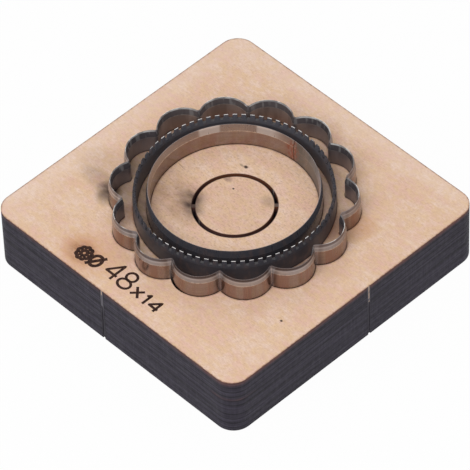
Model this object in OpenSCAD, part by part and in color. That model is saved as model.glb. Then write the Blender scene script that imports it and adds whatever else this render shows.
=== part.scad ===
// Steel rule die for a scalloped round badge. A square plywood board, cut out by laser, holds
// three bent steel rules on edge: a scalloped knife, a toothed rule that pricks the stitch line,
// and a round knife. The rules stand in through slots, foot down, with their edges up.

/* [Board] */
// Side of the square plywood board
board_w = 82.5; // [76:0.5:120]
// Thickness of the plywood
board_t = 17; // [14:0.5:20]
// Radius of the board's upright corners
board_corner_r = 5; // [2:0.5:10]

/* [Rules] */
// Height of a steel rule from foot to edge
rule_h = 23.6; // [22.5:0.1:26]
// Thickness of a steel rule
rule_t = 0.9; // [0.6:0.05:1.1]
// Height of the bevel ground on both faces of a rule
bevel_h = 2; // [1.5:0.1:2.4]
// Flat left along a cutting edge
edge_land = 0.08; // [0.04:0.02:0.2]
// Room on each side of a rule in its slot
slot_gap = 0.05; // [0.02:0.01:0.08]
// Gap between the two ends of a bent rule
butt_gap = 0.15; // [0.05:0.05:0.4]

/* [Scalloped knife] */
// Diameter over the tips of the lobes, at the cutting edge
scallop_d = 60; // [54:0.5:66]
// Depth of the scallop, from the tips of the lobes in to the cusps
scallop_depth = 3; // [2.5:0.1:3.5]
// Number of lobes
lobe_count = 14; // [12:1:15]
// Radius on the outer face of the bend at a cusp
cusp_inside_r = 0.15; // [0.1:0.05:0.4]
// How much the strip draws in on each face at the bend of a cusp
bend_draw = 0.02; // [0.01:0.005:0.04]
// Cusp where the ends of the knife meet, counted from the +X axis
scallop_butt_cusp = -3; // [-6:1:6]
// How far the slot is eased beside that joint, where the last lobe is pressed home
slot_ease = 0.4; // [0.1:0.05:0.6]

/* [Stitch rule] */
// Distance from the cusps in to the ring of teeth
stitch_inset = 3; // [2:0.25:6]
// Number of teeth
tooth_count = 70; // [50:1:80]
// Width of the notch between two teeth, at its foot
tooth_gap = 0.9; // [0.6:0.05:1.1]
// Widening of that notch towards the tips of the teeth
tooth_flare = 0.2; // [0:0.05:0.4]
// Depth of the notch
tooth_h = 1.35; // [0.8:0.05:1.45]
// Flat on the tip of a tooth
tooth_land = 0.3; // [0.1:0.05:0.5]
// Angle of the first tooth
tooth_angle = 1.6; // [0:0.1:5]
// Angle where the ends of the stitch rule meet
stitch_butt_angle = 26; // [0:1:45]

/* [Round knife] */
// Distance from the ring of teeth in to the round cutting edge
round_inset = 3.25; // [2:0.25:6]
// Angle where the ends of the round knife meet
round_butt_angle = 91; // [35:1:100]

/* [Bridges] */
// Bridges of uncut wood across each slot
bridge_count = 4; // [2:1:6]
// Width of a bridge
bridge_w = 5; // [3:0.5:6]
// Room on each side of a bridge in the foot of the rule that stands over it
bridge_gap = 0.3; // [0.1:0.05:0.5]

/* [Centre cut] */
// Diameter of the round cut in the middle of the board
centre_d = 20; // [12:0.5:30]
// Width of the cut
kerf_w = 0.9; // [0.5:0.05:1.5]
// Width of the two ties that hold the disc inside the cut
tie_w = 1; // [0.5:0.1:3]
// Angle of the first tie
tie_angle = 45; // [0:5:90]

/* [Outline scars] */
// Width of the scar that the laser left where it closed the outline on each side
scar_w = 0.7; // [0.3:0.1:1.5]
// Depth of the scar
scar_depth = 0.3; // [0.1:0.05:0.6]
// Height of the snapped tab above the scar
tab_h = 5.5; // [2:0.5:9]
// Distance of the scars from the middle of the front and back sides
scar_front_x = 3; // [0:0.5:20]
// Distance of the scars from the middle of the right and left sides
scar_side_y = 4; // [0:0.5:20]

/* [Hidden] */
$fn = 128;
wood = "burlywood";
steel = "slategray";
// Overshoot of a cut past the face that it opens
past = 1;
// Height of a cut that goes through the whole board
through = board_t + 2 * past;

// Diameters of the rings, each stepped in from the one outside it
cusp_d = scallop_d - 2 * scallop_depth;
stitch_d = cusp_d - 2 * stitch_inset;
round_d = stitch_d - 2 * round_inset;

// The scallop is a chain of arcs on the middle of the rule: a lobe that bulges outwards, then
// the tight bend of a cusp with its centre outside, each tangent to the next.
tip_r = scallop_d / 2;
lobe_step = 360 / lobe_count;
half_step = lobe_step / 2;
bend_r = cusp_inside_r + rule_t / 2;
bend_dist = cusp_d / 2 + bend_r;
lobe_r = (bend_dist^2 + tip_r^2 - 2 * bend_dist * tip_r * cos(half_step) - bend_r^2)
    / (2 * (tip_r + bend_r - bend_dist * cos(half_step)));
lobe_dist = tip_r - lobe_r;
bend_half = atan2(lobe_dist * sin(half_step), bend_dist - lobe_dist * cos(half_step));
lobe_half = bend_half + half_step;
// Angle by which the drawn-in bend runs on inside the ends of its two lobes
bend_lap = 5;

// Angles of the bridges: on lobe tips under the scallop, and staggered from ring to ring
bridge_step = 360 / bridge_count;
scallop_bridges = [for (k = [0 : bridge_count - 1])
    (floor(k * lobe_count / bridge_count) + 0.5) * lobe_step];
stitch_bridges = [for (k = [0 : bridge_count - 1]) (k + 0.75) * bridge_step];
round_bridges = [for (k = [0 : bridge_count - 1]) (k + 0.25) * bridge_step];
// Width of the notch in a rule's foot that clears a bridge
foot_notch_w = bridge_w + 2 * bridge_gap;

// Section of a rule, standing on its foot with its middle on the Y axis, drawn in by draw
module rule_section(land, draw = 0) {
    side = rule_t / 2 - draw;
    shoulder = rule_h - bevel_h;
    top = rule_h - draw;
    flat = (land - draw) / 2;
    polygon([[-side, 0], [side, 0], [side, shoulder], [flat, top], [-flat, top], [-side, shoulder]]);
}

// Section of the slot that a rule stands in
module slot_section(draw = 0) {
    side = rule_t / 2 + slot_gap - draw;
    translate([-side, -past]) square([2 * side, through]);
}

// Sweeps the first child along each lobe of the scallop and the second round each cusp
module along_scallop() {
    bend_sweep = bend_half + bend_lap;
    for (k = [0 : lobe_count - 1]) rotate(k * lobe_step) {
        rotate(half_step) translate([lobe_dist, 0])
            rotate_extrude(angle = 2 * lobe_half, start = -lobe_half)
                translate([lobe_r, 0]) children(0);
        translate([bend_dist, 0])
            rotate_extrude(angle = 2 * bend_sweep, start = 180 - bend_sweep)
                translate([bend_r, 0]) children(1);
    }
}

// Sweeps a section along the outer flank of the lobe beside the butt joint, eased towards the joint
module along_eased_flank() {
    rotate(scallop_butt_cusp * lobe_step + half_step) translate([lobe_dist, -slot_ease])
        rotate_extrude(angle = lobe_half, start = -lobe_half)
            translate([lobe_r, 0]) children();
}

// Sweeps a section round a full circle
module along_ring(d) {
    rotate_extrude() translate([d / 2, 0]) children();
}

// Upright blocks of the given width, one at each angle, from radius r0 to r1 and up to height h
module blocks(angles, width, r0, r1, h) {
    for (a = angles) rotate(a)
        translate([r0, -width / 2, -past]) cube([r1 - r0, width, h + past]);
}

// Blocks that cross the scallop at its lobe tips or cusps
module blocks_across_scallop(angles, width, h) {
    blocks(angles, width, lobe_dist, tip_r + rule_t, h);
}

// Blocks that cross a ring of diameter d and wall w
module blocks_across_ring(d, w, angles, width, h) {
    blocks(angles, width, d / 2 - w, d / 2 + w, h);
}

// One notch of the stitch rule, across the ring on the +X axis
module tooth_notch() {
    root = rule_h - tooth_h;
    top = tooth_gap + tooth_flare * (1 + past / tooth_h);
    translate([stitch_d / 2 - rule_t, 0, 0]) rotate([90, 0, 90])
        linear_extrude(2 * rule_t) polygon([
            [-tooth_gap / 2, root], [tooth_gap / 2, root],
            [top / 2, rule_h + past], [-top / 2, rule_h + past]
        ]);
}

// Scar down the lower part of the front side, below the snapped tab
module outline_scar() {
    translate([-scar_w / 2, -board_w / 2 - past, -past])
        cube([scar_w, scar_depth + past, board_t - tab_h + past]);
}

module board_blank() {
    flat = board_w - 2 * board_corner_r;
    linear_extrude(board_t) {
        square([board_w, flat], center = true);
        square([flat, board_w], center = true);
        for (x = [-1, 1], y = [-1, 1])
            translate([x, y] * flat / 2) circle(board_corner_r);
    }
}

module base_board() {
    color(wood) difference() {
        board_blank();
        difference() {
            along_scallop() {
                slot_section();
                slot_section(bend_draw);
            }
            blocks_across_scallop(scallop_bridges, bridge_w, through);
        }
        along_eased_flank() slot_section();
        difference() {
            along_ring(stitch_d) slot_section();
            blocks_across_ring(stitch_d, rule_t, stitch_bridges, bridge_w, through);
        }
        difference() {
            along_ring(round_d) slot_section();
            blocks_across_ring(round_d, rule_t, round_bridges, bridge_w, through);
        }
        difference() {
            along_ring(centre_d) translate([-kerf_w / 2, -past]) square([kerf_w, through]);
            blocks_across_ring(centre_d, kerf_w, [tie_angle, tie_angle + 180], tie_w, through);
        }
        for (turn = [0, 180]) rotate(turn) {
            translate([-scar_front_x, 0]) outline_scar();
            rotate(90) translate([scar_side_y, 0]) outline_scar();
        }
    }
}

module scallop_knife() {
    color(steel) difference() {
        along_scallop() {
            rule_section(edge_land);
            rule_section(edge_land, bend_draw);
        }
        blocks_across_scallop(scallop_bridges, foot_notch_w, board_t);
        blocks_across_scallop([scallop_butt_cusp * lobe_step], butt_gap, rule_h + past);
    }
}

module stitch_rule() {
    color(steel) difference() {
        along_ring(stitch_d) rule_section(tooth_land);
        for (k = [0 : tooth_count - 1])
            rotate(tooth_angle + (k + 0.5) * 360 / tooth_count) tooth_notch();
        blocks_across_ring(stitch_d, rule_t, stitch_bridges, foot_notch_w, board_t);
        blocks_across_ring(stitch_d, rule_t, [stitch_butt_angle], butt_gap, rule_h + past);
    }
}

module round_knife() {
    color(steel) difference() {
        along_ring(round_d) rule_section(edge_land);
        blocks_across_ring(round_d, rule_t, round_bridges, foot_notch_w, board_t);
        blocks_across_ring(round_d, rule_t, [round_butt_angle], butt_gap, rule_h + past);
    }
}

base_board();
scallop_knife();
stitch_rule();
round_knife();
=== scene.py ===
import math
from types import SimpleNamespace

import bpy
from mathutils import Matrix, Vector


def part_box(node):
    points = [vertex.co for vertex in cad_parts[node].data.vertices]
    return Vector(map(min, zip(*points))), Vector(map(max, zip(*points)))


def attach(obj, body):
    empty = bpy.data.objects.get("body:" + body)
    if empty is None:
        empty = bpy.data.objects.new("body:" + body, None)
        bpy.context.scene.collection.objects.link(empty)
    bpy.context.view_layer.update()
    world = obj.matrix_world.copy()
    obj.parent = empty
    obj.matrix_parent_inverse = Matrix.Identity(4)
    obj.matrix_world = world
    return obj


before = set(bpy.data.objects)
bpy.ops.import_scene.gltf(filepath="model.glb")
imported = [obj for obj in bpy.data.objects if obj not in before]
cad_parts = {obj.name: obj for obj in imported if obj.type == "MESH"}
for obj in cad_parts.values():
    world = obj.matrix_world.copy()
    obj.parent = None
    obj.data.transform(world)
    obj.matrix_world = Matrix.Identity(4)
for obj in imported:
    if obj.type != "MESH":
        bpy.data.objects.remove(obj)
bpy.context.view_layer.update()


# Base board. A square of plywood, cut out of its sheet by laser: the sanded face veneer is pale,
# and every cut side and slot is charred black, with a thin brown scorch along its rim. Soot from
# the beam has drifted over the face beside some of the cuts.
class Shade:
    """A socket in a material. Arithmetic on it adds Math nodes, and add() makes any other node."""

    mixing = {"data_type": "RGBA", "clamp_factor": True}

    def __init__(self, tree, socket=None):
        self.tree = tree
        self.socket = socket

    def add(self, kind, settings=None, inputs=None, output=0):
        """Adds a node of this type: its settings first, then its inputs' values or links."""
        node = self.tree.nodes.new(kind)
        for name, value in (settings or {}).items():
            setattr(node, name, value)
        for key, value in (inputs or {}).items():
            if isinstance(value, Shade):
                self.tree.links.new(value.socket, node.inputs[key])
            else:
                node.inputs[key].default_value = value
        return Shade(self.tree, node.outputs[output] if node.outputs else None)

    def calc(self, operation, *values):
        """The result of a Math node on these values."""
        return self.add("ShaderNodeMath", {"operation": operation}, dict(enumerate(values)))

    def __add__(self, other):
        return self.calc("ADD", self, other)

    def __radd__(self, other):
        return self.calc("ADD", other, self)

    def __sub__(self, other):
        return self.calc("SUBTRACT", self, other)

    def __rsub__(self, other):
        return self.calc("SUBTRACT", other, self)

    def __mul__(self, other):
        return self.calc("MULTIPLY", self, other)

    def __rmul__(self, other):
        return self.calc("MULTIPLY", other, self)

    def __truediv__(self, other):
        return self.calc("DIVIDE", self, other)

    def __pow__(self, other):
        return self.calc("POWER", self, other)

    def __abs__(self):
        return self.calc("ABSOLUTE", self)

    def larger(self, other):
        return self.calc("MAXIMUM", self, other)

    def smaller(self, other):
        return self.calc("MINIMUM", self, other)

    def fade(self, start, end):
        """0 up to start and 1 from end on, eased between; start may be the larger."""
        limits = {"Value": self, "From Min": start, "From Max": end}
        return self.add("ShaderNodeMapRange", {"interpolation_type": "SMOOTHSTEP"}, limits)

    def between(self, colour, other):
        """Two colours mixed by this mask: the first where it is 0 and the second where it is 1."""
        return self.add("ShaderNodeMix", self.mixing, {0: self, 6: colour, 7: other}, output=2)

    def toward(self, colour, mask):
        """This colour, mixed towards another where the mask is 1."""
        return self.add("ShaderNodeMix", self.mixing, {0: mask, 6: self, 7: colour}, output=2)

    def noise(self, size, stretch=(1, 1, 1), detail=2.0):
        """Noise at this place, in patches about this many millimetres across before stretching."""
        scale = [1 / (size * along) for along in stretch]
        spread = self.add("ShaderNodeMapping", None, {"Vector": self, "Scale": scale})
        return self.add("ShaderNodeTexNoise", None, {"Vector": spread, "Scale": 1.0, "Detail": detail})


def paint(red, green, blue):
    """A colour given as it looks on a screen, from 0 to 255, as the shader's linear numbers."""
    linear = [((c / 255 + 0.055) / 1.055) ** 2.4 for c in (red, green, blue)]
    return (*linear, 1.0)


MM = 0.001
board_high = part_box("base_board")[1]
board_half = board_high.x / MM
board_top = board_high.z / MM
board_corner = 5.0
rule_half = 0.45
slot_half = 0.5
round_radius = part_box("round_knife")[1].x / MM - rule_half
stitch_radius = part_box("stitch_rule")[1].x / MM - rule_half
kerf_radius = 10.0
kerf_half = 0.45

# The scallop, as its chain of lobes on the middle of the rule
lobe_count = 14
lobe_step = 2 * math.pi / lobe_count
lobe_tip = 30.0
lobe_depth = 3.0
cusp_bend = 0.6
cusp_centre = lobe_tip - lobe_depth + cusp_bend
cusp_across = cusp_centre * math.cos(lobe_step / 2)
lobe_radius = (cusp_centre**2 + lobe_tip**2 - 2 * cusp_across * lobe_tip - cusp_bend**2) / (
    2 * (lobe_tip + cusp_bend - cusp_across)
)
lobe_centre = lobe_tip - lobe_radius

# Direction of the board's near corner, from the middle
near_x, near_y = 0.736, -0.677


def start_finish(name):
    """A new material, and the place of a point on its surface in millimetres."""
    material = bpy.data.materials.new(name)
    material.use_nodes = True
    material.node_tree.nodes.clear()
    start = Shade(material.node_tree)
    metres = start.add("ShaderNodeTexCoord", output="Object")
    scaling = {0: metres, "Scale": 1 / MM}
    place = start.add("ShaderNodeVectorMath", {"operation": "SCALE"}, scaling)
    return SimpleNamespace(material=material, place=place)


def axes(vector):
    """The x, y and z of a vector."""
    split = vector.add("ShaderNodeSeparateXYZ", None, {0: vector})
    return [Shade(vector.tree, socket) for socket in split.socket.node.outputs]


def place_on_rings(spot):
    """Finds a point's distance and angle round the middle, how far outside the line of its lobe it
    is, and how far it lies towards the near corner and across to the right corner."""
    x, y, z = axes(spot.place)
    spot.x, spot.y, spot.z = x, y, z
    spot.radius = (x * x + y * y) ** 0.5
    spot.angle = x.calc("ARCTAN2", y, x)
    lobe_turn = x.calc("FRACT", spot.angle / lobe_step + lobe_count)
    lobe_angle = (lobe_turn - 0.5) * lobe_step
    along = spot.radius * x.calc("COSINE", lobe_angle) - lobe_centre
    aside = spot.radius * x.calc("SINE", lobe_angle)
    spot.off_lobe = (along * along + aside * aside) ** 0.5 - lobe_radius
    spot.near = x * near_x + y * near_y
    spot.across = y * near_x - x * near_y


def facing_up(spot):
    """How far the surface faces up: 1 on a level top and 0 on an upright side."""
    return axes(spot.place.add("ShaderNodeNewGeometry", output="Normal"))[2]


def smudge(spot, centre, reach):
    """A soft patch on the board's face, 1 at its centre and 0 from its reach on."""
    aside = (spot.x - centre[0]) / reach[0]
    along = (spot.y - centre[1]) / reach[1]
    return (aside * aside + along * along).fade(1.0, 0.0)


def end_finish(spot, colour, roughness, relief, depth, inputs):
    """Closes a material with its shader, from its relief, the relief's depth and other inputs."""
    start = Shade(spot.material.node_tree)
    bump = start.add("ShaderNodeBump", None, {"Height": relief, "Strength": 1.0, "Distance": depth})
    inputs = {"Base Color": colour, "Roughness": roughness, "Normal": bump, **inputs}
    shader = start.add("ShaderNodeBsdfPrincipled", None, inputs)
    start.add("ShaderNodeOutputMaterial", None, {"Surface": shader})
    return spot.material


def finish_node(node, material):
    """Gives a CAD node its finish."""
    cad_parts[node].material_slots[0].material = material


veneer_pale = paint(247, 218, 200)
veneer_pink = paint(239, 196, 178)
veneer_gold = paint(238, 203, 162)
veneer_tan = paint(217, 177, 149)
veneer_line = paint(248, 222, 202)
veneer_bleached = paint(255, 234, 222)
veneer_fleck = paint(178, 130, 102)
ray_y = 17.0
ray_slope = 0.1


def face_veneer(spot):
    """The sanded veneer: soft blotches, faint bands and short flecks that all run along the grain,
    with one paler ray on the right and paler margins along the far edges."""
    place, x, y = spot.place, spot.x, spot.y
    blotch = place.noise(5.0, (1.4, 1, 1), 4.0).fade(0.36, 0.64)
    cloud = place.noise(1.1, (1.5, 1, 1), 4.0).fade(0.34, 0.66)
    band = place.noise(1.3, (20, 1, 1)).fade(0.42, 0.7)
    fibre = place.noise(0.26, (3, 1, 1), 3.0).fade(0.3, 0.7)
    cross = place.noise(0.3, (1, 2.5, 1)).fade(0.4, 0.7)
    fleck = place.noise(0.2, (5, 1, 1), 1.0).fade(0.55, 0.7)
    patch = place.noise(2.5, (1.5, 1, 1)).fade(0.4, 0.6)
    ray = abs(y - ray_y - ray_slope * x).fade(0.8, 0.1) * x.fade(18.0, 28.0) * patch
    outward = abs(x).larger(abs(y))
    far_margin = outward.fade(board_half - 8.0, board_half - 2.5) * spot.near.fade(8.0, -8.0)
    face = (blotch * 0.9).between(veneer_pale, veneer_pink)
    face = face.toward(veneer_gold, cloud * 0.85)
    face = face.toward(veneer_line, band * 0.22)
    face = face.toward(veneer_tan, fibre * 0.4 + cross * 0.2)
    face = face.toward(veneer_fleck, fleck * patch * 0.25)
    face = face.toward(veneer_line, ray * 0.35)
    spot.sheen = cloud
    spot.grain = fibre * 0.5 - fleck * 0.3
    return face.toward(veneer_bleached, far_margin * 0.22)


scorch_and_shade_brown = paint(120, 72, 50)
char_dark = paint(20, 17, 24)


def scorched(spot, face):
    """The face with the scorch along the rims of its slots, of the round cut and of the board."""
    cusp_inside = lobe_tip - lobe_depth - slot_half
    inside_cusps = spot.radius.fade(cusp_inside, cusp_inside - 0.3)
    to_scallop = abs(spot.off_lobe) - slot_half + 10 * inside_cusps
    to_stitch = abs(spot.radius - stitch_radius) - slot_half
    to_round = abs(spot.radius - round_radius) - slot_half
    to_slot = to_scallop.smaller(to_stitch).smaller(to_round)
    past_x = (abs(spot.x) - (board_half - board_corner)).larger(0.0)
    past_y = (abs(spot.y) - (board_half - board_corner)).larger(0.0)
    to_rim = board_corner - (past_x * past_x + past_y * past_y) ** 0.5
    uneven = spot.place.noise(1.2).fade(0.3, 0.7)
    nick = spot.place.noise(0.7).fade(0.45, 0.7) * 0.15
    face = face.toward(scorch_and_shade_brown, to_slot.smaller(to_rim).fade(0.55, 0.05) * (0.2 + 0.35 * uneven))
    face = face.toward(scorch_and_shade_brown, spot.to_kerf.fade(0.3, 0.0) * (0.1 + 0.4 * uneven))
    face = face.toward(char_dark, to_slot.fade(0.12, 0.02) * 0.7)
    face = face.toward(scorch_and_shade_brown, (to_rim - nick).fade(0.12, 0.02) * 0.75)
    return face.toward(char_dark, spot.to_kerf.fade(0.16, 0.05) * 0.8)


veneer_soil_and_shade = paint(178, 138, 110)
veneer_toasted_and_shade = paint(204, 142, 96)
soot_and_shade = paint(62, 44, 38)

# Patches of soot: centre, reach, even strength, and strength that drifts
soot_patches = (
    ((-9.6, -6.6), (4.2, 3.8), 0.125, 0.125),
    ((-10.5, -7.0), (8.0, 7.5), 0.11, 0.11),
    ((-25.2, -18.0), (4.2, 3.8), 0.42, 0.18),
    ((-29.5, -16.8), (7.0, 3.6), 0.1, 0.15),
    ((-31.0, -13.0), (10.0, 8.0), 0.15, 0.0),
    ((-24.0, -19.8), (3.4, 3.4), 0.35, 0.0),
    ((4.9, 6.6), (2.8, 2.3), 0.28, 0.0),
    ((-7.6, 5.0), (2.0, 1.2), 0.0, 0.5),
)


def sooted(spot, face):
    """The face darker inside the rings, partly soil and partly painted shade; sooty patches that
    drifted from the cuts; painted shade in the troughs between the rules and beside the right
    lobes; and a brown halo round the burnt mark."""
    radius, near, across = spot.radius, spot.near, spot.across
    drift = spot.place.noise(2.2, (2, 1, 1), 3.0).fade(0.3, 0.7)
    speckle = spot.place.noise(0.45, (1.6, 1, 1), 3.0).fade(0.5, 0.72)

    # Darker inside the rings: speckled painted shade over ring and disc, and two patches of soil
    in_ring = radius.fade(round_radius, round_radius - 0.5)
    on_disc = radius.fade(kerf_radius, kerf_radius - 0.4)
    soil_and_ring_shade = in_ring * speckle * 0.35 + on_disc * 0.1
    soil_and_ring_shade = soil_and_ring_shade + smudge(spot, (-6.3, -11.0), (5.5, 3.5)) * 0.4
    soil_and_ring_shade = soil_and_ring_shade + smudge(spot, (-14.0, -7.0), (8.0, 9.0)) * (0.1 + 0.3 * drift)
    face = face.toward(veneer_soil_and_shade, soil_and_ring_shade)

    soot_and_trough_shade = sum(
        smudge(spot, centre, reach) * (even + drifting * drift)
        for centre, reach, even, drifting in soot_patches
    )
    at_left_tie = spot.angle.fade(-2.95, -2.65) * spot.angle.fade(-1.8, -2.2)
    soot_and_trough_shade = soot_and_trough_shade + at_left_tie * spot.to_kerf.fade(3.0, 0.1) * (0.35 + 0.25 * drift)

    # Painted shade in the trough between the scallop and the stitch rule: in front, behind, on the
    # left
    between_rules = radius.fade(stitch_radius - 0.5, stitch_radius) * spot.off_lobe.fade(0.0, -0.3)
    in_front = near.fade(stitch_radius - 9.0, stitch_radius - 4.0)
    behind = near.fade(-18.0, -23.5) * abs(across).fade(20.0, 14.0)
    on_left = across.fade(-8.0, -18.0) * spot.y.fade(-21.0, -14.0)
    soot_and_trough_shade = soot_and_trough_shade + between_rules * (in_front + behind).larger(on_left) * 0.45

    # Painted shade between the two rings, less on the right
    outside_round = radius.fade(round_radius, round_radius + 0.3)
    between_rings = outside_round * radius.fade(stitch_radius, stitch_radius - 0.3)
    on_right = across.fade(8.0, 18.0)
    soot_and_trough_shade = soot_and_trough_shade + between_rings * (0.38 + 0.25 * drift) * (1 - 0.55 * on_right)
    face = face.toward(soot_and_shade, soot_and_trough_shade)

    # Painted shade: brown in the trough by the right lobes and in the left trough
    right_lobe_shade = smudge(spot, (22.0, 12.2), (5.5, 7.5)) * 0.65
    left_trough_shade = smudge(spot, (-16.3, -19.8), (4.5, 4.0)) * 0.5
    face = face.toward(scorch_and_shade_brown, between_rules * (right_lobe_shade + left_trough_shade))
    # Painted shade: an orange-brown patch just outside the right lobes
    face = face.toward(veneer_toasted_and_shade, smudge(spot, (26.8, 16.0), (5.0, 6.0)) * 0.4)

    round_mark = smudge(spot, (-13.5, -35.0), (12.0, 8.5))
    on_mark = smudge(spot, (-15.2, -35.6), (7.0, 5.4))
    mark_heart = smudge(spot, (-15.0, -36.0), (5.0, 3.8))
    face = face.toward(veneer_toasted_and_shade, round_mark * 0.3)
    face = face.toward(veneer_toasted_and_shade, on_mark * (0.2 + 0.5 * drift))
    return face.toward(scorch_and_shade_brown, mark_heart * (0.2 + 0.35 * drift + 0.4 * speckle))


# Pin knots: centre, reach and strength
pin_knots = (
    ((-7.15, 10.7), (0.75, 0.6), 1.0),
    ((-8.3, 10.4), (0.9, 0.4), 0.45),
    ((-4.2, 3.6), (0.4, 0.35), 1.0),
    ((34.2, -18.1), (0.5, 0.42), 1.0),
)
scratch_slope = 0.15
scratch_turns = 4.0


def knotted(spot, face):
    """The face with its pin knots and a few short scratches on the left."""
    knots = sum(smudge(spot, centre, reach) * strength for centre, reach, strength in pin_knots)
    slant = spot.x * scratch_slope + spot.y
    scratch = slant.calc("SINE", slant * scratch_turns).fade(0.93, 1.0)
    face = face.toward(soot_and_shade, knots)
    return face.toward(scorch_and_shade_brown, scratch * smudge(spot, (-18.4, 0.3), (1.8, 1.1)) * 0.7)


ply_count = 11
char_grey = paint(72, 67, 81)
char_brown = paint(114, 76, 70)
bared_depth = 5.6


def charred_sides(spot):
    """The charred sides: thin black glue lines that come and go between the plies, upright marks of
    the beam, and brown wood that shows through under the rim, in one ply and in the round cut."""
    place, z = spot.place, spot.z
    waver = place.noise(9.0, (2, 2, 1))
    streak = place.noise(0.3, (60, 60, 1), 3.0)
    beam = place.noise(0.35, (1, 1, 30))
    layer = place.noise(0.9, (30, 30, 1))
    glow = place.noise(5.0, (1, 1, 0.4)).fade(0.4, 0.65)
    depth = z / board_top * ply_count + waver * 0.5
    ply = depth.calc("PINGPONG", depth, 1.0).fade(0.3, 0.7)
    char = (0.25 + ply * 0.2 + streak.fade(0.35, 0.65) * 0.35).between(char_dark, char_grey)
    char = char.toward(char_grey, beam.fade(0.45, 0.65) * 0.35)
    char = char.toward(char_dark, layer.fade(0.5, 0.68) * 0.45)

    glue_line = abs(depth.calc("FRACT", depth) - 0.5).fade(0.34, 0.46)
    shows = place.noise(6.0, (4, 4, 0.3)).fade(0.42, 0.58)
    upper = z.fade(board_top - 8.0, board_top - 5.0)
    char = char.toward(char_dark, glue_line * (0.3 + 0.5 * shows.larger(upper)))

    under_rim = z.fade(board_top - 1.6, board_top - 0.2) * (0.55 + 0.45 * glow)
    char = char.toward(char_brown, under_rim * (0.45 + 0.5 * spot.x.fade(20.0, board_half)))
    bared_ply = abs(z - (board_top - bared_depth) + waver).fade(0.6, 0.1)
    char = char.toward(char_brown, bared_ply * spot.near.fade(52.0, 55.0) * (0.1 + 0.3 * glow))
    in_kerf = spot.radius.fade(kerf_radius + 2, kerf_radius + 1) * z.fade(board_top - 3, board_top)
    spot.char_relief = streak
    return char.toward(scorch_and_shade_brown, in_kerf * (0.35 + 0.65 * spot.y.fade(-6.0, 6.0)))


scar_pale_and_light = paint(104, 100, 108)
torn_wood = paint(196, 170, 150)
tab_height = 6.0
tab_half = 0.22
scar_half = 0.35
front_tab_x = -3.0
side_tab_y = 4.0


def snapped_tabs(spot, char):
    """The charred sides with the torn tab in the middle of each, and the pale scar below it, which
    is painted paler still: painted light that lifts the shade in its groove.
    """
    x, y, z = spot.x, spot.y, spot.z
    on_side = abs(x).fade(board_half - 1.0, board_half - 0.6)
    from_tab = abs(y - side_tab_y * x.calc("SIGN", x)) * on_side
    from_tab = from_tab + abs(x + front_tab_x * y.calc("SIGN", y)) * (1 - on_side)
    beside_scar = from_tab.fade(scar_half + 0.5, scar_half + 0.15)
    scar = from_tab.fade(scar_half + 0.12, scar_half + 0.04)
    torn = from_tab.fade(tab_half, tab_half - 0.1) * spot.place.noise(0.8).fade(0.3, 0.5)
    torn_foot = board_top - tab_height * (0.3 + 0.7 * on_side)
    char = char.toward(char_dark, beside_scar * (0.8 - 0.6 * on_side))
    # Pale scar, painted paler still: painted light that lifts the shade in its groove
    char = char.toward(scar_pale_and_light, scar * (0.45 + 0.4 * z.fade(board_top - 9.0, board_top - 5.0)))
    return char.toward(torn_wood, torn * (z - torn_foot).fade(0.0, 0.6) * 0.95)


def laser_cut_plywood():
    """The board's finish: veneer on its face, and char on every cut side."""
    spot = start_finish("laser_cut_plywood")
    place_on_rings(spot)
    spot.to_kerf = abs(spot.radius - kerf_radius) - kerf_half
    cut_side = abs(facing_up(spot)).fade(0.7, 0.4)
    face = scorched(spot, face_veneer(spot))
    face = knotted(spot, sooted(spot, face))
    char = snapped_tabs(spot, charred_sides(spot))
    roughness = 0.62 - 0.12 * spot.sheen + cut_side * 0.1
    relief = spot.grain + spot.char_relief * cut_side
    gloss = {"Specular IOR Level": 0.22}
    return end_finish(spot, face.toward(char, cut_side), roughness, relief, 0.05 * MM, gloss)


finish_node("base_board", laser_cut_plywood())


# Burnt mark. A size mark that the laser traced on the face in single strokes: a scalloped ring and
# the diameter sign, the diameter of the stitch ring, and the number of lobes.
stroke_width = 0.7
stroke_height = 0.02
sign_weight = 1.3
mark_foot = -37.3
figure_height = 5.4
small_height = 3.3
sign_height = 4.2
mark_strokes = []


def trace(points, cell, closed=False, weight=1.0):
    """Adds a stroke given in parts of its cell, which is its left, foot, width and height."""
    left, foot, width, height = cell
    placed = [Vector((left + u * width, foot + v * height, 0.0)) for u, v in points]
    if not closed:
        shares = (0.0, 0.03, 0.97)
        legs = [start.lerp(end, share) for start, end in zip(placed, placed[1:]) for share in shares]
        placed = legs + placed[-1:]
    mark_strokes.append((placed, closed, weight))


def loop(centre_v, reach_u, reach_v, ripple=0.0, ripples=0, count=40):
    """Points of a closed loop in the middle of its cell's width, with a rippled outline if asked."""
    points = []
    for step in range(count):
        turn = 2 * math.pi * step / count
        swell = 1 - ripple * (1 - abs(math.sin(ripples * turn / 2)))
        u = 0.5 + reach_u * swell * math.cos(turn)
        v = centre_v + reach_v * swell * math.sin(turn)
        points.append((u, v))
    return points


four = ([(0.78, 0.0), (0.78, 1.0), (0.0, 0.3), (1.0, 0.3)],)
one = ([(0.0, 0.76), (0.55, 1.0), (0.55, 0.0)],)
times = ([(0.0, 0.1), (1.0, 0.9)], [(0.0, 0.9), (1.0, 0.1)])
for glyph, left, width, height in (
    (four, -7.1, 3.5, figure_height),
    (times, 2.3, 2.5, small_height),
    (one, 6.0, 1.5, small_height),
    (four, 8.2, 2.8, small_height),
):
    for points in glyph:
        trace(points, (left, mark_foot, width, height))
eight_cell = (-2.6, mark_foot, 3.6, figure_height)
ring_cell = (-16.6, mark_foot - 0.6, 3.9, sign_height)
diameter_cell = (-12.5, mark_foot - 0.4, 3.4, sign_height)
trace(loop(0.75, 0.4, 0.25), eight_cell, True)
trace(loop(0.26, 0.5, 0.26), eight_cell, True)
trace(loop(0.5, 0.5, 0.5, 0.22, 9, 90), ring_cell, True, sign_weight)
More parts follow.
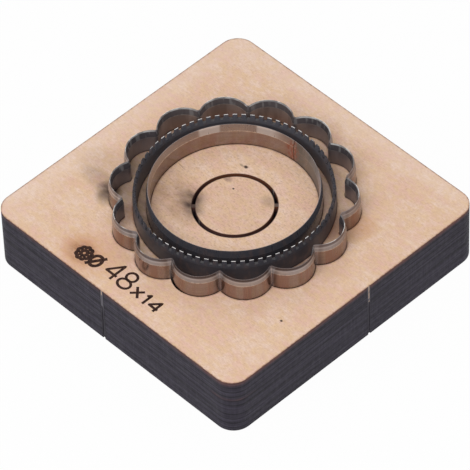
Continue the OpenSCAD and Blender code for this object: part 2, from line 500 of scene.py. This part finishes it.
trace(loop(0.5, 0.2, 0.2), ring_cell, True, sign_weight)
trace(loop(0.5, 0.42, 0.42), diameter_cell, True, sign_weight)
trace([(0.05, -0.05), (0.95, 1.05)], diameter_cell, False, sign_weight)

mark_path = bpy.data.curves.new("burnt_mark", "CURVE")
mark_path.dimensions = "3D"
mark_path.bevel_depth = stroke_width / 2
mark_path.bevel_resolution = 3
mark_path.use_fill_caps = True
for points, closed, weight in mark_strokes:
    spline = mark_path.splines.new("POLY")
    spline.points.add(len(points) - 1)
    spline.use_cyclic_u = closed
    for point, position in zip(spline.points, points):
        point.co = (*position, 1.0)
        point.radius = weight
mark_curve = bpy.data.objects.new("burnt_mark_path", mark_path)
mark_mesh = bpy.data.meshes.new_from_object(mark_curve)
bpy.data.objects.remove(mark_curve)
flatten = Matrix.Diagonal((MM, MM, MM * 2 * stroke_height / stroke_width, 1.0))
mark_mesh.transform(Matrix.Translation((0.0, 0.0, board_high.z)) @ flatten)
burnt_mark = bpy.data.objects.new("burnt_mark", mark_mesh)
bpy.context.scene.collection.objects.link(burnt_mark)

burnt_black = paint(40, 24, 20)
burnt_brown = paint(84, 52, 38)


def burnt_strokes():
    """The strokes' finish: charred wood, browner where the beam bit less."""
    spot = start_finish("burnt_strokes")
    scald = spot.place.noise(0.6).fade(0.35, 0.65)
    colour = (scald * 0.45).between(burnt_black, burnt_brown)
    return end_finish(spot, colour, 0.75 - 0.1 * scald, scald, 0.02 * MM, {"Specular IOR Level": 0.2})


mark_mesh.materials.append(burnt_strokes())
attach(burnt_mark, "root")


# Scalloped knife. The outer cutting rule: a strip of hard spring steel, bent into a chain of lobes
# and pressed on edge into its slot, with a bevel ground on both faces of its upper edge. Rolling
# left fine streaks on the strip, and handling has browned it.
steel_warm = paint(162, 149, 145)
steel_dull = paint(140, 126, 122)
steel_brown = paint(148, 118, 108)
steel_dark = paint(112, 98, 94)
steel_pale = paint(186, 170, 166)
steel_black = paint(102, 103, 114)
steel_near_shade = paint(62, 62, 71)
bevel_ground = paint(190, 182, 180)
bevel_grey = paint(158, 154, 158)
inner_bevel_shade = paint(90, 84, 88)
bevel_highlight = paint(232, 228, 226)
edge_shade_dark = paint(64, 57, 59)
shoulder_highlight = paint(222, 214, 208)
edge_dull = paint(112, 106, 106)
land_highlight = paint(226, 224, 222)
edge_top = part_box("scallop_knife")[1].z / MM
bevel_height = 2.0
shoulder = edge_top - bevel_height
ripple_depth = 0.03 * MM


def start_rule(name):
    """Starts a rule's finish: where a point lies on the rule, and the marks of the mill on it."""
    spot = start_finish(name)
    place_on_rings(spot)
    place, z = spot.place, spot.z
    spot.level = facing_up(spot).fade(0.6, 0.8)
    spot.land = spot.level * z.fade(edge_top - 0.3, edge_top - 0.1)
    spot.bevel = z.fade(shoulder - 0.05, shoulder + 0.05)
    spot.nearer = spot.near.fade(6.0, 18.0)
    spot.streak = place.noise(0.4, (1, 1, 40))
    spot.wide = place.noise(2.2, (1, 1, 6))
    spot.grind = place.noise(0.8, (1, 1, 12))
    spot.rolled = place.noise(0.3, (14, 14, 1))
    return spot


def rolled_steel(spot, browned):
    """The strip as it was rolled, with fine streaks, and browned in upright bands."""
    streaks = spot.streak.fade(0.35, 0.65) * 0.15 + spot.rolled.fade(0.4, 0.65) * 0.35
    colour = streaks.between(steel_warm, steel_dull)
    return colour.toward(steel_brown, spot.wide.fade(0.38, 0.62) * browned)


def ground_bevel(spot, colour, worn=0.0):
    """The strip with its pale bevel, greyer towards the edge and duller where it is worn."""
    colour = colour.toward(bevel_ground, spot.bevel * (0.9 - 0.5 * worn))
    return colour.toward(bevel_grey, spot.z.fade(shoulder + 0.7, shoulder + 1.3) * (0.9 - 0.4 * worn))


def grinding_marks(spot, colour):
    """The bevel with the marks of the grinding wheel."""
    colour = colour.toward(bevel_grey, spot.bevel * spot.rolled.fade(0.42, 0.6) * 0.5)
    return colour.toward(steel_warm, spot.bevel * spot.grind.fade(0.42, 0.62) * 0.2)


def painted_shoulder_highlight(spot, colour):
    """The strip with a painted highlight line along the foot of its bevel."""
    line = abs(spot.z - shoulder).fade(0.2, 0.04)
    return colour.toward(shoulder_highlight, line * (0.25 + 0.5 * spot.grind.fade(0.6, 0.4)))


def dark_steel_and_shade(spot, colour, black):
    """Steel turned dark bluish grey by its mask: black from heat on the stitch rule, and painted shade
    on the round knife's outer face and on the scallop's inner faces at the sides. It is darker still
    towards the near corner, which is painted shade, and has some brown tarnish.
    """
    tarnish = spot.place.noise(1.4, (1, 1, 2), 3.0).fade(0.45, 0.7)
    colour = colour.toward(steel_black, black)
    colour = colour.toward(steel_near_shade, black * spot.nearer * 0.65)
    return colour.toward(steel_brown, black * tarnish * 0.3)


def dark_foot_line(spot, colour):
    """The strip darker along a thin line where it stands in its slot."""
    return colour.toward(soot_and_shade, spot.z.fade(board_top + 0.3, board_top + 0.05) * 0.4)


def steel_roughness(spot, polish, ground):
    """The roughness of a rule, from its polish and what grinding adds on its bevel."""
    bevelled = spot.bevel * (0.75 + 0.25 * spot.grind.fade(0.4, 0.6)) * ground
    return polish + 0.06 * spot.streak + 0.08 * spot.wide + bevelled


def lobe_back_light_and_shade(spot, colour):
    """Painted light and shade on the outer faces of the lobes: painted shade along the edge, darkest
    on the near lobes; a painted highlight line between painted-shade sides in each cusp; painted
    shade on the bevel at the right and towards the near corner; and painted highlight lines below
    and along the edge."""
    z, radius, nearer = spot.z, spot.radius, spot.nearer
    outside = spot.outside
    edge_shade = outside * z.fade(edge_top - 0.85, edge_top - 0.5)
    colour = colour.toward(steel_dark, edge_shade * (0.2 + 0.6 * nearer))
    colour = colour.toward(edge_shade_dark, edge_shade * spot.foremost * 0.85)
    cusp_flank_shade = radius.fade(lobe_tip - 1.1, lobe_tip - 1.8) * radius.fade(lobe_tip - 2.3, lobe_tip - 1.9)
    colour = colour.toward(edge_shade_dark, outside * cusp_flank_shade * 0.35)
    colour = colour.toward(bevel_grey, spot.cusp_line * 0.35)
    bevel_highlight_line = abs(z - (edge_top - 1.0)).fade(0.22, 0.05)
    colour = colour.toward(bevel_highlight, outside * bevel_highlight_line * 0.45)
    outer_bevel_shade = (spot.across.fade(8.0, 22.0) * 0.45).larger(nearer * 0.3)
    colour = colour.toward(steel_dark, outside * spot.bevel * outer_bevel_shade)
    outer_edge_highlight = outside * z.fade(edge_top - 0.14, edge_top - 0.06)
    return colour.toward(bevel_highlight, outer_edge_highlight * (0.6 - 0.35 * nearer - 0.25 * spot.foremost))


def knife_steel():
    """The scalloped knife's finish."""
    spot = start_rule("knife_steel")
    place, z = spot.place, spot.z
    spot.outside = spot.off_lobe.fade(0.03, 0.08)
    spot.foremost = spot.near.fade(18.0, 26.0)
    spot.cusp_line = spot.outside * spot.radius.fade(lobe_tip - 2.0, lobe_tip - 2.35)
    inside = spot.off_lobe.fade(0.05, -0.05)
    at_sides = abs(spot.across).fade(13.0, 22.0)
    colour = ground_bevel(spot, rolled_steel(spot, 0.6))
    # Painted reflection: the inner faces paler and redder than the outer, with darker upright streaks
    colour = colour.toward(steel_pale, inside * 0.75)
    colour = colour.toward(steel_dark, inside * spot.wide.fade(0.4, 0.62) * 0.4)
    colour = painted_shoulder_highlight(spot, grinding_marks(spot, colour))
    # Painted shade: the inner faces at the sides take the dark bluish finish
    black = 0.6 * inside * at_sides
    colour = dark_steel_and_shade(spot, lobe_back_light_and_shade(spot, colour), black)

    # Inner bevel: painted dark, with painted glimmers and a painted highlight line along the edge
    colour = colour.toward(inner_bevel_shade, inside * spot.bevel * (0.7 + 0.2 * at_sides))
    glimmer = place.noise(1.2, (1, 1, 10), 1.0).fade(0.52, 0.68) * spot.bevel * 0.24
    lit = place.noise(2.4, (1, 1, 4), 1.0).fade(0.45, 0.6)
    inner_edge_highlight = inside * glimmer.larger(z.fade(edge_top - 0.5, edge_top - 0.35) * (0.5 + 0.5 * lit))
    colour = dark_foot_line(spot, colour.toward(land_highlight, inner_edge_highlight * 0.9))

    # Cutting edge: dull; painted glints on lobes away from the near corner, painted shade on the
    # nearest
    glint = place.noise(2.0, detail=1.0).fade(0.42, 0.55) * (1 - 0.8 * spot.foremost)
    on_lobes = spot.radius.fade(lobe_tip - 1.6, lobe_tip - 0.8)
    colour = colour.toward(edge_dull, spot.land)
    colour = colour.toward(land_highlight, spot.land * on_lobes * glint)
    colour = colour.toward(edge_shade_dark, spot.land * spot.foremost)

    roughness = steel_roughness(spot, 0.2, 0.2) + inside * 0.06
    oiled = inside * (1 - at_sides) * (0.08 + 0.22 * z.fade(edge_top - 5.5, edge_top - 2.5))
    metal = 1.0 - 0.6 * black - 0.4 * inner_edge_highlight - oiled - 0.3 * spot.cusp_line
    return end_finish(spot, colour, roughness, spot.wide, ripple_depth, {"Metallic": metal})


finish_node("scallop_knife", knife_steel())


# Stitch rule. A toothed strip of steel that heat has turned black, which pricks the stitch line,
# bent to a ring and pressed into its slot. Notches are punched across its bevelled edge. The flat
# tops of the teeth have a painted highlight on the near and far parts of the ring, and painted
# shade at the sides.
punched_grey = paint(86, 84, 86)
tooth_shade = paint(60, 56, 58)
stitch_black = 0.85


def stitch_steel():
    """The stitch rule's finish."""
    spot = start_rule("stitch_steel")
    colour = ground_bevel(spot, rolled_steel(spot, 0.2))
    colour = painted_shoulder_highlight(spot, grinding_marks(spot, colour))
    colour = dark_foot_line(spot, dark_steel_and_shade(spot, colour, stitch_black))
    punched = spot.level - spot.land
    # Painted highlight on the tooth tops near and far, painted shade on those at the sides
    lit_teeth = abs(spot.near).fade(stitch_radius * 0.46, stitch_radius * 0.74)
    ridge = abs(spot.radius - stitch_radius).fade(0.08, 0.04)
    worn = spot.level * (1 - lit_teeth)
    colour = colour.toward(punched_grey, punched)
    colour = colour.toward(edge_dull, spot.land)
    colour = colour.toward(tooth_shade, worn)
    colour = colour.toward(land_highlight, spot.land * lit_teeth * ridge)
    roughness = steel_roughness(spot, 0.32, 0.1) + (punched + worn) * 0.3
    metal = 1.0 - 0.6 * stitch_black
    return end_finish(spot, colour, roughness, spot.wide, ripple_depth, {"Metallic": metal})


finish_node("stitch_rule", stitch_steel())


# Round knife. The inner cutting rule: a strip of polished steel, bent to a ring, bevelled on both
# faces and pressed into its slot. Its outer face is painted dark as painted shade, and its bore has
# a grey smear beside the joint, a rust stain, and painted glints on two stretches of its bevel.
steel_grey = paint(112, 108, 105)
rust = paint(150, 78, 56)
stain_x = -0.6
stain_height = 3.2
stain_reach = (2.6, 4.2)


def round_steel():
    """The round knife's finish."""
    spot = start_rule("round_steel")
    z, radius, angle = spot.z, spot.radius, spot.angle
    bore = radius.fade(round_radius - 0.02, round_radius - 0.06)
    right_bore = bore * spot.across.fade(16.5, 20.0)
    colour = rolled_steel(spot, 0.4)
    colour = colour.toward(steel_dark, bore * spot.across.fade(-8.0, -18.0) * 0.45)
    colour = colour.toward(steel_dark, right_bore * 0.9)
    colour = grinding_marks(spot, ground_bevel(spot, colour, bore))
    # Painted glints on two stretches of the bore's bevel
    back_stretch = angle.fade(1.72, 1.94) * angle.fade(2.12, 2.08)
    left_stretch = angle.fade(2.52, 2.56) * angle.fade(2.82, 2.78)
    stretch_glints = spot.bevel * (back_stretch + left_stretch) * bore
    colour = colour.toward(bevel_highlight, stretch_glints * (0.45 + 0.4 * z.fade(edge_top - 0.8, edge_top)))
    by_joint = bore * angle.fade(0.9, 1.2) * angle.fade(1.6, 1.52)
    smeared = by_joint * (0.6 + 0.4 * spot.wide.fade(0.4, 0.6))
    colour = painted_shoulder_highlight(spot, colour).toward(steel_grey, smeared)
    # Painted shade: the outer face takes the dark bluish finish
    black = 0.85 * radius.fade(round_radius + 0.02, round_radius + 0.06)
    colour = dark_foot_line(spot, dark_steel_and_shade(spot, colour, black)).toward(edge_dull, spot.land)

    stain_aside = (spot.x - stain_x) / stain_reach[0]
    stain_up = (z - (board_top + stain_height)) / stain_reach[1]
    stain = (stain_aside * stain_aside + stain_up * stain_up).fade(1.0, 0.2)
    stain = stain * spot.y.fade(18.0, 20.0) * bore
    eaten = spot.place.noise(0.6, (1, 1, 2)).fade(0.42, 0.6)
    colour = colour.toward(rust, stain * (0.12 + 0.55 * eaten))

    roughness = steel_roughness(spot, 0.12, 0.12) + right_bore * 0.3
    metal = 1.0 - 0.6 * black - 0.4 * stretch_glints - 0.35 * smeared - 0.4 * right_bore
    return end_finish(spot, colour, roughness, spot.wide, ripple_depth, {"Metallic": metal})


finish_node("round_knife", round_steel())


# Floor. A pale sheet of matt card under the object, which runs on past the picture. It shows as
# white, keeps the object's shadow, and is dark under the board.
floor_side = 6.0
card_grey = (0.82, 0.82, 0.82, 1.0)
white_share = 0.97
shade_start = 4.0
shade_full = 6.0


def seen_white(start):
    """1 for what the camera sees straight, in gloss or through glass, where it shows as white."""
    seen = start.add("ShaderNodeLightPath", output="Is Camera Ray")
    for ray in ("Is Glossy Ray", "Is Transmission Ray"):
        seen = seen.larger(start.add("ShaderNodeLightPath", output=ray))
    return seen


def pale_card():
    """The floor's finish."""
    spot = start_finish("pale_card")
    start = Shade(spot.material.node_tree)
    x, y, _ = axes(spot.place)
    open_floor = abs(x).larger(abs(y)).fade(board_half - shade_full, board_half - shade_start)
    white = start.add("ShaderNodeEmission", None, {"Color": (1.0, 1.0, 1.0, 1.0), "Strength": 1.0})
    matt = start.add("ShaderNodeBsdfDiffuse", None, {"Color": card_grey})
    share = seen_white(start) * open_floor * white_share
    card = start.add("ShaderNodeMixShader", None, {0: share, 1: matt, 2: white})
    start.add("ShaderNodeOutputMaterial", None, {"Surface": card})
    return spot.material


bpy.ops.mesh.primitive_plane_add(size=floor_side)
floor = bpy.context.object
floor.name = "floor_card"
floor.data.materials.append(pale_card())


# Light. An even white surround, a broad soft lamp high in front and a little to the left, and a
# soft box behind the object, which the flat tops of the teeth mirror.
surround = 0.55
world = bpy.data.worlds.new("studio")
bpy.context.scene.world = world
world.use_nodes = True
world.node_tree.nodes.clear()
start = Shade(world.node_tree)
strength = surround + (1.0 - surround) * seen_white(start)
background = start.add("ShaderNodeBackground", None, {"Strength": strength})
start.add("ShaderNodeOutputWorld", None, {"Surface": background})


def soft_box(name, direction, distance, side, power):
    """A square area lamp that faces the object from this direction."""
    lamp = bpy.data.lights.new(name, "AREA")
    lamp.size = side
    lamp.energy = power
    carrier = bpy.data.objects.new(name, lamp)
    bpy.context.scene.collection.objects.link(carrier)
    away = Vector(direction).normalized()
    carrier.location = away * distance
    carrier.rotation_euler = away.to_track_quat("Z", "Y").to_euler()
    carrier.visible_camera = False


soft_box("key_lamp", (0.3, -0.8, 1.3), 0.9, 0.7, 4.2)
soft_box("back_box", (-0.496, 0.456, 0.739), 1.0, 0.45, 1.0)


# Camera. A long lens that looks down on the near corner of the board, as in the photograph, with
# its distance and its shift aside and up given in sides of the board.
frame_px = 470
focal_px = 5145.3
view_azimuth = math.radians(47.39)
view_elevation = math.radians(47.63)
view_roll = -0.03939
board_side = 2 * board_high.x
view_distance = 14.961 * board_side
view_aside = 0.0004 * board_side
view_rise = -0.0857 * board_side

back = Vector((
    math.sin(view_azimuth) * math.cos(view_elevation),
    -math.cos(view_azimuth) * math.cos(view_elevation),
    math.sin(view_elevation),
))
level = Vector((math.cos(view_azimuth), math.sin(view_azimuth), 0.0))
rise = back.cross(level)
right = math.cos(view_roll) * level + math.sin(view_roll) * rise
up = math.cos(view_roll) * rise - math.sin(view_roll) * level
camera_data = bpy.data.cameras.new("camera")
camera_data.sensor_width = 36.0
camera_data.lens = focal_px * camera_data.sensor_width / frame_px
camera = bpy.data.objects.new("camera", camera_data)
bpy.context.scene.collection.objects.link(camera)
middle_of_face = Vector((0.0, 0.0, board_high.z))
eye = middle_of_face + back * view_distance + right * view_aside + up * view_rise
camera.matrix_world = Matrix.Translation(eye) @ Matrix((right, up, back)).transposed().to_4x4()
bpy.context.scene.camera = camera
bpy.context.scene.view_settings.view_transform = "Standard"
